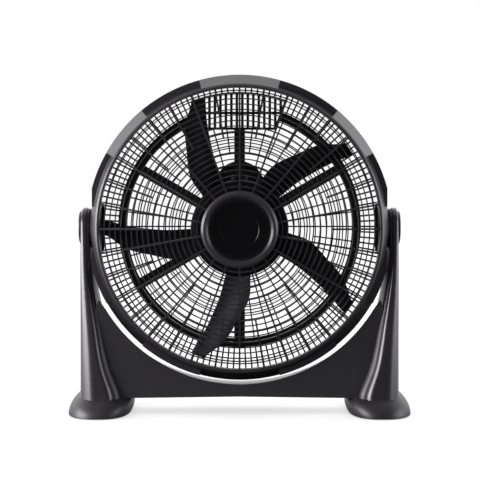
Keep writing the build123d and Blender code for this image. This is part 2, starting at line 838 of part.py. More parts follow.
def motor_leads():
    """Insulated leads from the windings to the switch, and from the switch to the capacitor."""
    switch_end = cover_lobe_height - switch_width / 2
    capacitor_end = capacitor_size[1] / 2 - capacitor_drop
    upper = cover_inside + 8 * lead_radius
    lower = cover_inside + 3 * lead_radius
    leads = []
    for k in (-1, 0, 1):
        x = k * lead_pitch
        start = (x, lead_height(), stator_rear - winding_length)
        points = [start, (x, lead_height(), upper), (x, switch_end, upper)]
        path = FilletPolyline(*points, radius=lead_bend)
        section = Plane(origin=path @ 0, z_dir=path % 0) * Circle(lead_radius)
        leads.append(sweep(section, path=path))
    for k in (-1, 1):
        bar = Rot(90, 0, 0) * Cylinder(lead_radius, switch_end - capacitor_end)
        leads.append(Pos(k * lead_pitch, (switch_end + capacitor_end) / 2, lower) * bar)
    return group(leads)


# ---------------------------------------------------------------- feet
def foot_outline(inset, angle):
    """A rounded oval, moved in by inset, at the height where the dome's slope has turned by angle."""
    height = (foot_height - inset) * math.sin(angle)
    share = math.cos(angle)
    outer_half = foot_half_width - inset
    inner_half = (foot_inner_half_width - inset) * (1 + foot_inner_swell * math.sin(angle))
    power = 2 / foot_squareness
    points = []
    for k in range(foot_outline_points):
        turn = 2 * math.pi * k / foot_outline_points
        across = math.copysign(abs(math.cos(turn)) ** power, math.cos(turn))
        along = math.copysign(abs(math.sin(turn)) ** power, math.sin(turn))
        x = share * across * (outer_half if across > 0 else inner_half)
        y = share * (foot_half_length - inset) * along
        points.append((x, y))
    outline = Face(Wire([Spline(*points, periodic=True)]))
    return Pos(foot_centre, 0, height) * outline


def foot_dome(inset):
    """A long low dome with an oval outline, moved in by inset, under the right-hand column."""
    last = math.asin(foot_top / foot_height)
    angles = [last * k / foot_level_count for k in range(-1, foot_level_count + 1)]
    return loft([foot_outline(inset, angle) for angle in angles])


def above_floor(height):
    reach = 3 * foot_half_length
    return block((0, 2 * foot_centre), (-reach, reach), (height, height + reach))


def pad_places():
    return [(foot_centre + sx * pad_half_width, sy * pad_half_length) for sx in (-1, 1) for sy in (-1, 1)]


def foot_screw_places():
    return [(foot_centre, side * foot_screw_half_length) for side in (-1, 1)]


def foot():
    """The right-hand foot, a shell with posts for its pads and screws."""
    outside = foot_dome(0)
    posts = [bar_z(pad_post_radius, foot_clearance, foot_height, x, y) for x, y in pad_places()]
    seat = screw_post_radius + 2
    posts += [bar_z(seat, foot_screw_flat, foot_height, x, y) for x, y in foot_screw_places()]
    body = (outside - foot_dome(foot_wall)) & above_floor(foot_clearance)
    body = joined([body] + [post & outside for post in posts])
    holes = [bar_z(pad_radius, 0, pad_thickness, x, y) for x, y in pad_places()]
    holes += [bar_z(screw_radius + running_gap, 0, foot_height + 1, x, y) for x, y in foot_screw_places()]
    return body - holes


def foot_pads():
    pads = [bar_z(pad_radius, 0, pad_thickness, x, y) for x, y in pad_places()]
    return group(pads + [mirror(pad, about=Plane.YZ) for pad in pads])


def foot_screws():
    screws = []
    for x, y in foot_screw_places():
        shank = bar_z(screw_radius, foot_screw_flat, foot_screw_flat + foot_screw_length, x, y)
        head = bar_z(screw_head_radius, foot_screw_flat - screw_head_height, foot_screw_flat, x, y)
        screws += mirrored(shank + head)
    return group(screws)


# ---------------------------------------------------------------- columns
def between(low, high, share):
    return low + share * (high - low)


def column_levels():
    """For each section its height, its share of the way up and its inner side."""
    rise = axis_height - column_straight - column_base
    axis_share = (axis_height - column_base) / rise
    levels = []
    for share, swing in [(0.0, 0.0)] + column_swing + [(1.0, 1.0), (axis_share, 1.0)]:
        inner = column_inner - (1 - swing) * column_foot_spread
        liner = between(liner_foot_thickness, liner_thickness, swing)
        levels.append((column_base + share * rise, share / axis_share, inner, inner + liner))
    return levels


def rounded_section(height, inner, outer, half_depth, outer_round, inner_round):
    """A rectangle in plan with two large outer corners and two smaller inner ones."""
    corners = [(inner, -half_depth), (inner, half_depth), (outer, half_depth), (outer, -half_depth)]
    outline = Face(Wire.make_polygon([Vector(x, y, 0) for x, y in corners], close=True))
    outline = outline.fillet_2d(inner_round, outline.vertices().sort_by(Axis.X)[:2])
    outline = outline.fillet_2d(outer_round, outline.vertices().sort_by(Axis.X)[-2:])
    return Pos(0, 0, height) * outline


def shell_section(level, inset):
    """One section of the shell's outside, moved in by inset."""
    height, share, _, seam = level
    half_depth = between(column_foot_half_depth, column_top_radius, share) - inset
    width = column_outer - seam
    outer_round = between(column_foot_round, column_top_round, share)
    outer_round = min(outer_round, outer_round_share * width) - inset
    inner_round = between(seam_foot_round, seam_top_round, share)
    inner_round = max(min(inner_round, seam_round_share * width) - inset, seam_top_round / 2)
    return rounded_section(height, seam + inset, column_outer - inset, half_depth, outer_round, inner_round)


def mouth_section(level):
    """One section of the shell's opening, which the liner closes."""
    height, share, _, seam = level
    half_depth = between(column_foot_half_depth, column_top_radius, share) - column_wall / 2
    half_depth -= between(seam_foot_round, seam_top_round, share)
    edge_round = column_wall / 2
    return rounded_section(height, seam - 1, seam + 2 * column_wall, half_depth, edge_round, edge_round)


def liner_section(level):
    """One section of the liner, run on into the shell."""
    height, share, inner, seam = level
    half_depth = between(column_foot_half_depth, column_top_radius, share)
    half_depth -= between(liner_foot_setback, liner_setback, share)
    inner_round = between(seam_foot_round, seam_top_round, share) * liner_round_share
    return rounded_section(height, inner, seam + column_width / 2, half_depth, seam_top_round, inner_round)


def column_block(sections):
    """A tapering stem through the sections and a round head on the tilt axis."""
    stem = loft(sections[:-1])
    neck = loft(sections[-2:], ruled=True)
    behind = block((0, 2 * column_outer), (0, column_outer), (axis_height - 1, axis_height + 1))
    half = sections[-1] & behind
    head = revolve(half, Axis((0, 0, axis_height), (1, 0, 0)), 180)
    return joined([stem, neck, head])


def shell_block(inset):
    return column_block([shell_section(level, inset) for level in column_levels()])


def shell_mouth():
    return column_block([mouth_section(level) for level in column_levels()])


def liner_block():
    return column_block([liner_section(level) for level in column_levels()])


def stud_head_seat():
    return column_outer - stud_head_height


def column_shell():
    outside = shell_block(0) - foot_dome(0)
    across = (-column_outer, column_outer)
    floor = block((0, 2 * column_outer), across, (column_floor - column_wall, column_floor))
    hollow = shell_block(column_wall) + shell_mouth()
    body = outside - (hollow - floor)
    posts = [(screw_post_radius + 1, foot_screw_flat, column_floor, x, y) for x, y in foot_screw_places()]
    posts = [bar_z(*post) - foot_dome(0) for post in posts]
    pivot_post = bar_x(pivot_post_radius, column_inner + liner_thickness, column_outer, 0, axis_height)
    body = joined([body, pivot_post] + posts)
    top = foot_screw_flat + foot_screw_length + 1
    holes = [bar_z(screw_radius, foot_screw_flat, top, x, y) for x, y in foot_screw_places()]
    holes.append(bar_x(stud_radius + running_gap, column_inner - 1, column_outer + 1, 0, axis_height))
    holes.append(bar_x(stud_head_radius + seat_gap, stud_head_seat(), column_outer + 1, 0, axis_height))
    return body - holes


def column_liner():
    bore = bar_x(stud_radius + running_gap, 0, 2 * column_outer, 0, axis_height)
    return liner_block() - shell_block(0) - foot_dome(0) - bore


def pivot_stud():
    """The headed stud in the column's head, which the drum's boss turns on."""
    seat = stud_head_seat()
    end = flat_half_width - seat_gap - nut_washer_thickness - nut_thickness - 1.5
    shank = bar_x(stud_radius, end, seat, 0, axis_height)
    return shank + bar_x(stud_head_radius, seat, column_outer - seat_gap, 0, axis_height)


def washer(radius, start, end):
    disc = bar_x(radius, start, end, 0, axis_height)
    return disc - bar_x(stud_radius, start - 1, end + 1, 0, axis_height)


def friction_washer():
    return washer(friction_washer_radius, column_inner - friction_washer_thickness, column_inner)


def nut_washer():
    end = flat_half_width - seat_gap
    return washer(nut_washer_radius, end - nut_washer_thickness, end)


def pivot_nut():
    end = flat_half_width - seat_gap - nut_washer_thickness
    plane = Plane(origin=(end - nut_thickness, 0, axis_height), z_dir=(1, 0, 0))
    hexagon = extrude(plane * RegularPolygon(nut_radius, 6), nut_thickness)
    return hexagon - bar_x(stud_radius, end - nut_thickness - 1, end + 1, 0, axis_height)


def pivot_cap():
    cap = bar_x(cap_radius, column_outer, column_outer + cap_thickness, 0, axis_height)
    return fillet(cap.edges().group_by(Axis.X)[-1], cap_round)


# ---------------------------------------------------------------- web
def web_section(depth, radius, low, inset, peaks=None):
    """The web's outline at one depth: an arch with its lowest point at low, over a nearly flat bottom."""
    centre = low + radius
    far = column_inner
    bottom = -3 * inset

    def arch_height(x):
        return centre - math.sqrt((radius + inset) ** 2 - x**2)

    meet = 0.95 * web_peak_half_width
    peak, end = peaks or (arch_height(web_peak_half_width) + inset, arch_height(far) + inset)
    right = [
        (meet, arch_height(meet)),
        (web_peak_half_width, peak - inset),
        (far, end - inset),
        (far, web_bottom_side + bottom),
        (0.7 * far, web_bottom_side + bottom),
        (0, web_bottom_middle + bottom),
    ]
    arch = [(-meet, depth, arch_height(meet)), (0, depth, arch_height(0)), (meet, depth, arch_height(meet))]
    edges = [Edge.make_three_point_arc(*arch)]
    for (x1, z1), (x2, z2) in zip(right, right[1:]):
        edges.append(Edge.make_line((x1, depth, z1), (x2, depth, z2)))
        edges.append(Edge.make_line((-x1, depth, z1), (-x2, depth, z2)))
    return Face(Wire.combine(edges)[0])


def web_solid(inset):
    """The web filled in, moved in by inset. Its arch opens out towards the rear."""
    half = web_half_depth - inset
    low = axis_height - web_radius
    peaks = (axis_height - web_peak_drop, axis_height - web_end_drop)
    front = web_section(-half, web_radius, low, inset, peaks)
    rear = web_section(half, web_rear_radius, low - web_rear_drop, inset)
    return loft([front, rear], ruled=True)


def cross_web():
    """The web, a channel open at the bottom, between the two liners."""
    body = web_solid(0) - web_solid(web_wall)
    return body - mirrored(shell_block(0)) - mirrored(liner_block()) - mirrored(foot_dome(0))


# ---------------------------------------------------------------- write every piece
def main():
    on_fan = {
        "drum": drum(),
        "front_grille": front_grille(),
        "hub_badge": hub_badge(),
        "rear_guard": rear_guard(),
        "guard_screws": guard_screws(),
        "motor_front_bell": motor_bell(motor_front, stator_front),
        "motor_rear_bell": motor_bell(guard_front, stator_rear) - lead_slot(guard_front - 1, stator_rear),
        "stator_core": stator_core(),
        "stator_windings": stator_windings(),
        "front_bearing": bearing(motor_front - bearing_length),
        "rear_bearing": bearing(guard_front),
        "motor_bolts": motor_bolts(),
        "motor_nuts": motor_nuts(),
        "rotor_core": rotor_core(),
        "motor_shaft": motor_shaft(),
        "blade_wheel": blade_wheel(),
        "spinner_nut": spinner(),
        "motor_cover": motor_cover(),
        "cover_screws": cover_screws(),
        "cord_gland": cord_gland(),
        "speed_switch": speed_switch(),
        "switch_spindle": switch_spindle(),
        "speed_knob": speed_knob(),
        "capacitor": capacitor(),
        "motor_leads": motor_leads(),
    }
    for name, shape in on_fan.items():
        save(name, shape, on_fan=True)
    sided = {
        "foot": foot(),
        "column_shell": column_shell(),
        "column_liner": column_liner(),
        "pivot_stud": pivot_stud(),
        "pivot_cap": pivot_cap(),
        "pivot_nut": pivot_nut(),
        "friction_washer": friction_washer(),
        "nut_washer": nut_washer(),
    }
    for name, shape in sided.items():
        save(f"{name}_right", shape)
        save(f"{name}_left", mirror(shape, about=Plane.YZ))
    save("cross_web", cross_web())
    save("foot_pads", foot_pads())
    save("foot_screws", foot_screws())


main()
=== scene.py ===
import logging
import math
from dataclasses import dataclass, field
from enum import Enum
from typing import Union

import bpy
import numpy as np
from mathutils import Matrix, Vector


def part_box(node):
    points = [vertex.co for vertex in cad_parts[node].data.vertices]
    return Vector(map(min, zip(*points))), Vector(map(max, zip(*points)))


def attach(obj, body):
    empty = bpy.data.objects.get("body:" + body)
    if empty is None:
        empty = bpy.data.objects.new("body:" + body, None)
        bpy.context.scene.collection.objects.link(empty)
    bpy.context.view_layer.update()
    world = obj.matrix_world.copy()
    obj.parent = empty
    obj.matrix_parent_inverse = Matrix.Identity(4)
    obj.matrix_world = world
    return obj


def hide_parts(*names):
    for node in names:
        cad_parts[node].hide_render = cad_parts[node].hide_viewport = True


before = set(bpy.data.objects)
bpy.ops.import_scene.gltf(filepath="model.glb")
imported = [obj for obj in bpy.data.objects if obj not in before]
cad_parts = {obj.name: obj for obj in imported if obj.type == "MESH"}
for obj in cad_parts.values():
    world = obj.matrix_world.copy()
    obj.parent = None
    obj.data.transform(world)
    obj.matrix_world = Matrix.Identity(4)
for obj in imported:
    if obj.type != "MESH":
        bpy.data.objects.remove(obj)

LOG = logging.getLogger("fan")

Value = Union[bpy.types.NodeSocket, float, tuple]
"""What a shader node's socket can be given: another node's socket, a number or a colour."""

AXIS_HEIGHT = 0.333
"""Height of the tilt axis and of the fan axis above the floor, in metres."""


class Tone(Enum):
    """Plain colours of the materials, in sRGB, with GLINT for the faint tint of highlights on plastic."""

    BODY = "1d1b1e"
    BODY_DARK = "171518"
    GRILLE = "201e21"
    # The guard's tone, darker than the grille's: its own black with painted shade for the drum's inside.
    GUARD = "0f0f10"
    BLADE = "101011"
    BADGE = "050506"
    RUBBER = "141414"
    STEEL = "a9abad"
    CAST = "b4b5b8"
    CORE = "3a3a3c"
    WINDING = "b06f3a"
    CASE = "d9d6cc"
    MARKING = "c9c9c9"
    FLOOR = "5a5a5a"
    GLINT = "fbf8ff"


def linear(tone: Tone) -> tuple[float, float, float, float]:
    """Turn a tone's sRGB hex into linear RGBA.

    Args:
        tone: The tone to convert.

    Returns:
        Red, green, blue and alpha, each from 0 to 1.
    """
    channels = [int(tone.value[i:i + 2], 16) / 255 for i in (0, 2, 4)]
    return (*(c / 12.92 if c <= 0.04045 else ((c + 0.055) / 1.055) ** 2.4 for c in channels), 1.0)


@dataclass(frozen=True)
class Finish:
    """How a moulded, cast or turned surface looks.

    Attributes:
        tone: Main colour.
        second: Colour that the main one drifts towards in soft patches.
        drift: Share of the second colour at the strongest patches.
        roughness: Lowest and highest roughness over the surface.
        grain: Size of the surface's texture, in metres. The mould's own grain, 0.1 mm, is too fine to
            show, so it is drawn about 1 mm wide.
        relief: Height of that texture, in metres; 0.04 mm for a satin mould.
        metallic: 1 for bare metal, 0 for everything else.
        edge: How much raised edges are lightened, partly as wear from rubbing and partly as a painted
            highlight.
        specular: Specular level of the surface.
        ior: Index of refraction.
    """

    tone: Tone
    second: Tone
    drift: float = 0.3
    roughness: tuple[float, float] = (0.26, 0.36)
    grain: float = 0.0012
    relief: float = 0.00004
    metallic: float = 0.0
    # Lightening of raised edges: wear from rubbing and a painted highlight.
    edge: float = 0.03
    specular: float = 0.5
    ior: float = 1.54


FINISHES: dict[str, Finish] = {
    # Black ABS from a satin mould: a deep black under soft, wide highlights. Its specular level is matched
    # to the highlights on the columns.
    "satin_abs": Finish(Tone.BODY, Tone.BODY_DARK, specular=0.6),
    # The feet's ABS has a coarser skin, which spreads and dims its highlight.
    "grained_abs": Finish(Tone.BODY, Tone.BODY_DARK, roughness=(0.42, 0.52)),
    # The columns' inner halves are duller still, so that the fold beside them stays quiet.
    "matt_abs": Finish(Tone.BODY, Tone.BODY_DARK, roughness=(0.4, 0.48)),
    # A polished ABS disc: almost a black mirror.
    "polished_abs": Finish(
        Tone.BADGE, Tone.BODY_DARK, 0.1, (0.2, 0.26), 0.004, 0.00001, specular=0.22
    ),
    # Polypropylene, moulded thin for the grille: greyer than the body, with a soft sheen on its bars.
    "grille_polypropylene": Finish(Tone.GRILLE, Tone.BODY, roughness=(0.3, 0.4), ior=1.49),
    # The guard's polypropylene is the blackest, so that its bars read as plain lines; that black is partly
    # its own and partly painted shade for the shade inside the drum.
    "guard_polypropylene_painted_shade": Finish(Tone.GUARD, Tone.BODY_DARK, ior=1.49),
    # Glass-filled polypropylene blades: dull and dark, with little gloss.
    "blade_polypropylene": Finish(
        Tone.BLADE, Tone.BODY_DARK, roughness=(0.45, 0.55), specular=0.3, ior=1.49
    ),
    # Moulded rubber: dead matt, with a fine pitted skin.
    "moulded_rubber": Finish(
        Tone.RUBBER, Tone.BODY_DARK, roughness=(0.7, 0.85), relief=0.00008, ior=1.52
    ),
    # Zinc-plated steel: bright and faintly mottled.
    "zinc_steel": Finish(
        Tone.STEEL, Tone.CAST, 0.5, (0.28, 0.4), 0.0008, 0.00002, metallic=1.0, ior=1.5
    ),
    # Die-cast aluminium: pale, dull and finely pitted.
    "cast_aluminium": Finish(
        Tone.CAST, Tone.STEEL, 0.5, (0.45, 0.6), 0.001, 0.00005, metallic=1.0, ior=1.5
    ),
    # Laminated silicon steel: dark grey sheets with a dull glint.
    "laminated_steel": Finish(
        Tone.CORE, Tone.STEEL, 0.2, (0.45, 0.55), 0.0006, 0.00005, metallic=0.6, ior=1.5
    ),
    # Enamelled copper wire: warm brown-red with a varnished gloss.
    "enamelled_copper": Finish(
        Tone.WINDING, Tone.CORE, 0.3, (0.3, 0.4), 0.0008, 0.0001, metallic=0.8, ior=1.5
    ),
    # Sintered bronze: the same warm metal, duller and porous.
    "sintered_bronze": Finish(
        Tone.WINDING, Tone.CORE, 0.4, (0.5, 0.6), 0.0006, 0.0001, metallic=1.0, ior=1.5
    ),
    # Moulded nylon in its natural cream, with a waxy sheen.
    "moulded_nylon": Finish(Tone.CASE, Tone.STEEL, 0.2, ior=1.53),
    # Raised marks printed over in pale ink: flat and dry.
    "printed_ink": Finish(Tone.MARKING, Tone.STEEL, 0.1, (0.5, 0.6), ior=1.5),
}

NODE_FINISH: dict[str, str] = {
    "front_grille": "grille_polypropylene",
    "rear_guard": "guard_polypropylene_painted_shade",
    "foot_left": "grained_abs",
    "foot_right": "grained_abs",
    "column_liner_left": "matt_abs",
    "column_liner_right": "matt_abs",
    "hub_badge": "polished_abs",
    "blade_wheel": "blade_polypropylene",
    "spinner_nut": "blade_polypropylene",
    "speed_knob": "grille_polypropylene",
    "cord_gland": "moulded_rubber",
    "foot_pads": "moulded_rubber",
    "friction_washer_left": "moulded_rubber",
    "friction_washer_right": "moulded_rubber",
    "motor_front_bell": "cast_aluminium",
    "motor_rear_bell": "cast_aluminium",
    "stator_core": "laminated_steel",
    "rotor_core": "laminated_steel",
    "stator_windings": "enamelled_copper",
    "front_bearing": "sintered_bronze",
    "rear_bearing": "sintered_bronze",
    "capacitor": "moulded_nylon",
    "speed_switch": "moulded_nylon",
    "switch_spindle": "moulded_nylon",
    "motor_leads": "moulded_nylon",
    "motor_shaft": "zinc_steel",
    "motor_bolts": "zinc_steel",
    "motor_nuts": "zinc_steel",
    "guard_screws": "zinc_steel",
    "cover_screws": "zinc_steel",
    "foot_screws": "zinc_steel",
    "pivot_stud_left": "zinc_steel",
    "pivot_stud_right": "zinc_steel",
    "pivot_nut_left": "zinc_steel",
    "pivot_nut_right": "zinc_steel",
    "nut_washer_left": "zinc_steel",
    "nut_washer_right": "zinc_steel",
}
"""Finish of each CAD node; the rest are of the body's satin ABS."""


class ShaderGraph:
    """Builds one material's nodes.

    Attributes:
        material: The material being built.
    """

    def __init__(self, name: str) -> None:
        """Start an empty material.

        Args:
            name: Name of the material.
        """
        self.material = bpy.data.materials.new(name)
        self.material.use_nodes = True
        self.tree = self.material.node_tree
        self.tree.nodes.clear()

    @classmethod
    def of_tree(cls, tree: bpy.types.NodeTree) -> "ShaderGraph":
        """Start over in a node tree that exists.

        Args:
            tree: The tree, such as the world's.

        Returns:
            A graph that builds in it.
        """
        graph = cls.__new__(cls)
        graph.tree = tree
        tree.nodes.clear()
        return graph

    def add(self, kind: str, **inputs: Union[Value, str]) -> bpy.types.Node:
        """Add one shader node.

        Args:
            kind: The node's Blender type.
            **inputs: Values for its sockets by name, with _ for a space. A socket given as the value is
                linked, and a name that is no socket sets the node's own property.

        Returns:
            The new node.
        """
        node = self.tree.nodes.new(kind)
        for name, value in inputs.items():
            if hasattr(node, name):
                setattr(node, name, value)
            else:
                self.feed(node.inputs[name.replace("_", " ")], value)
        return node

    def feed(self, socket: bpy.types.NodeSocket, value: Value) -> None:
        """Link a socket to another, or set its value.

        Args:
            socket: The socket to set.
            value: Another node's socket, or a value.
        """
        if isinstance(value, bpy.types.NodeSocket):
            self.tree.links.new(value, socket)
        else:
            socket.default_value = value

    def math(self, operation: str, first: Value, second: Value) -> bpy.types.NodeSocket:
        """Combine two values.

        Args:
            operation: Name of the operation.
            first: Socket or number.
            second: Socket or number.

        Returns:
            The result's socket.
        """
        node = self.add("ShaderNodeMath", operation=operation)
        self.feed(node.inputs[0], first)
        self.feed(node.inputs[1], second)
        return node.outputs["Value"]

    def mix_values(self, share: Value, first: Value, second: Value) -> bpy.types.NodeSocket:
        """Mix two values.

        Args:
            share: The second one's share, a socket or a number.
            first: Socket or number.
            second: Socket or number.

        Returns:
            The mixed value's socket.
        """
        node = self.add("ShaderNodeMix", data_type="FLOAT")
        for place, value in ((0, share), (2, first), (3, second)):
            self.feed(node.inputs[place], value)
        return node.outputs[0]

    def fade(
        self, source: Value, span: tuple[float, float], levels: tuple[float, float]
    ) -> bpy.types.NodeSocket:
        """Turn a value smoothly into a level.

        Args:
            source: Socket with the value.
            span: Values between which the level changes.
            levels: The level before and after.

        Returns:
            The level's socket.
        """
        node = self.add(
            "ShaderNodeMapRange",
            interpolation_type="SMOOTHSTEP",
            Value=source,
            From_Min=span[0],
            From_Max=span[1],
            To_Min=levels[0],
            To_Max=levels[1],
        )
        return node.outputs["Result"]

    def ramp(self, source: Value, stops: list[tuple[float, tuple]]) -> bpy.types.NodeSocket:
        """Map a value to colours.

        Args:
            source: Socket with the value.
            stops: Positions and their colours.

        Returns:
            The ramp's colour socket.
        """
        node = self.add("ShaderNodeValToRGB", Fac=source)
        elements = node.color_ramp.elements
        while len(elements) < len(stops):
            elements.new(0.5)
        for element, (position, colour) in zip(elements, stops):
            element.position = position
            element.color = colour
        return node.outputs["Color"]


def make_mesh(name: str, points: np.ndarray, faces: list) -> bpy.types.Mesh:
    """Make a mesh from points and faces.

    Args:
        name: Name of the mesh.
        points: One row of x, y and z for each point, in metres.
        faces: The points of each face, seen counter-clockwise from outside.

    Returns:
        The mesh.
    """
    mesh = bpy.data.meshes.new(name)
    mesh.from_pydata(points.tolist(), [], faces)
    mesh.validate()
    return mesh


def closed_rows(rows: int, count: int) -> list:
    """Join rows of points into a closed shell.

    Face (i, j) joins points (i, j), (i, j + 1), (i + 1, j + 1) and (i + 1, j), with j counted round the
    row, and one face closes each end.

    Args:
        rows: How many rows there are, from the bottom up.
        count: How many points each has, counter-clockwise seen from the top.

    Returns:
        The faces.
    """
    row, column = np.meshgrid(np.arange(rows - 1), np.arange(count), indexing="ij")
    low = row * count + column
    following = row * count + (column + 1) % count
    sides = np.stack([low, following, following + count, low + count], axis=-1).reshape(-1, 4)
    last = (rows - 1) * count
    return [list(range(count))[::-1], list(range(last, last + count)), *sides.tolist()]


def prism(outline: np.ndarray, height: float, bevel: float) -> tuple[np.ndarray, list]:
    """Raise an outline into a bevelled plate.

    Its rows are the outline at the bottom, the outline at the bevel's foot, and the outline drawn in
    towards its middle by the bevel at the top.

    Args:
        outline: Convex outline in x and y, counter-clockwise, one row a point.
        height: How far the plate stands up.
        bevel: Width and height of the bevel round its top.

    Returns:
        Points and faces of the plate, its bottom at z 0.
    """
    middle = outline.mean(axis=0)
    reach = np.linalg.norm(outline - middle, axis=1, keepdims=True)
    top = middle + (outline - middle) * (1 - bevel / reach)
    rows = [(outline, 0.0), (outline, height - bevel), (top, height)]
    points = np.vstack([np.column_stack([flat, np.full(len(flat), z)]) for flat, z in rows])
    return points, closed_rows(len(rows), len(outline))


def rounded_bar(length: float, width: float, steps: int = 5) -> np.ndarray:
    """Outline of a bar with round ends along x, centred on 0.

    Each end is half a circle of the bar's width, and the left end is the right one turned half round.

    Args:
        length: Its length.
        width: Its width.
        steps: Points on each round end, less one.

    Returns:
        The outline's points, counter-clockwise.
    """
    turn = np.linspace(-np.pi / 2, np.pi / 2, steps + 1)
    half, run = width / 2, length / 2 - width / 2
    right = np.column_stack([run + half * np.cos(turn), half * np.sin(turn)])
    return np.vstack([right, -right])


PATCHES = 14.0
"""Scale of the soft patches of a moulding's second colour, about 70 mm across."""

PATCH_SPAN = (0.38, 0.66)
"""Noise between which the main colour drifts to the second one."""

EDGE_WEAR_AND_HIGHLIGHT_SPAN = (0.54, 0.66)
# Pointiness between which an edge turns from untouched to lightened by wear from rubbing and a painted
# highlight.
"""Pointiness between which an edge turns from untouched to rubbed."""

EDGE_WEAR_AND_HIGHLIGHT_SHARE = 0.5
# Share of the lighter colour on a fully lightened edge, which shows wear from rubbing and a painted
# highlight.
"""Share of the lighter colour on a fully rubbed edge."""

BUMP_STRENGTH = 0.6
"""Strength of the grain's relief."""


def make_material(name: str, finish: Finish) -> bpy.types.Material:
    """Build the procedural material of a finish.

    Two colours drift into each other in soft patches, raised edges are lightened by wear from rubbing and
    a painted highlight, and one fine noise drives both the roughness and the relief of the grain.

    Args:
        name: Name of the material.
        finish: The finish to show.

    Returns:
        The material.
    """
    graph = ShaderGraph(name)
    place = graph.add("ShaderNodeTexCoord").outputs["Object"]
    patches = graph.add("ShaderNodeTexNoise", Vector=place, Scale=PATCHES, Detail=3.0).outputs["Fac"]
    grain = graph.add("ShaderNodeTexNoise", Vector=place, Scale=1.0 / finish.grain, Detail=2.0)
    texture = grain.outputs["Fac"]
    main, second = linear(finish.tone), linear(finish.second)
    mixed = tuple(m + (s - m) * finish.drift for m, s in zip(main, second))
    colour = graph.ramp(patches, list(zip(PATCH_SPAN, (main, mixed))))
    # Lighter colour for raised edges: wear from rubbing and a painted highlight.
    worn_and_highlit = tuple(min(1.0, c + finish.edge) for c in main[:3]) + (1.0,)
    point = graph.add("ShaderNodeNewGeometry").outputs["Pointiness"]
    rubbed_and_highlit = graph.ramp(point, list(zip(EDGE_WEAR_AND_HIGHLIGHT_SPAN, ((0, 0, 0, 1), (*[EDGE_WEAR_AND_HIGHLIGHT_SHARE] * 3, 1)))))
    blended = graph.add("ShaderNodeMix", data_type="RGBA")
    graph.tree.links.new(rubbed_and_highlit, blended.inputs[0])
    graph.tree.links.new(colour, blended.inputs[6])
    blended.inputs[7].default_value = worn_and_highlit
    low, high = finish.roughness
    rough = graph.add("ShaderNodeMapRange", Value=texture, To_Min=low, To_Max=high)
    bump = graph.add("ShaderNodeBump", Height=texture, Distance=finish.relief, Strength=BUMP_STRENGTH)
    shader = graph.add(
        "ShaderNodeBsdfPrincipled",
        Base_Color=blended.outputs[2],
        Roughness=rough.outputs["Result"],
        Normal=bump.outputs["Normal"],
        Metallic=finish.metallic,
        IOR=finish.ior,
        Specular_IOR_Level=finish.specular,
    )
    if not finish.metallic:
        shader.inputs["Specular Tint"].default_value = linear(Tone.GLINT)
    graph.add("ShaderNodeOutputMaterial", Surface=shader.outputs["BSDF"])
    return graph.material


@dataclass(frozen=True)
class Panel:
    """A soft rectangular light that faces the fan.

    Attributes:
        name: Its name.
        azimuth: Degrees from the front towards the right.
        elevation: Degrees above the tilt axis.
        distance: How far away it hangs, in metres.
        width: Its width, in metres.
        height: Its height, in metres.
        power: Its power, in watts.
        mirrored: Whether glossy surfaces show it.
    """

    name: str
    azimuth: float
    elevation: float
    distance: float
    width: float
    height: float
    power: float
    mirrored: bool = True


PANELS: tuple[Panel, ...] = (
    Panel("key", -71.0, 8.0, 2.0, 2.0, 1.0, 96.0),
    Panel("fill", 80.0, 8.0, 2.0, 1.8, 1.1, 26.0),
    Panel("front", 0.0, 42.0, 2.2, 1.4, 1.0, 10.0, False),
    Panel("rear", 180.0, 25.0, 2.5, 7.0, 2.4, 44.0),
)


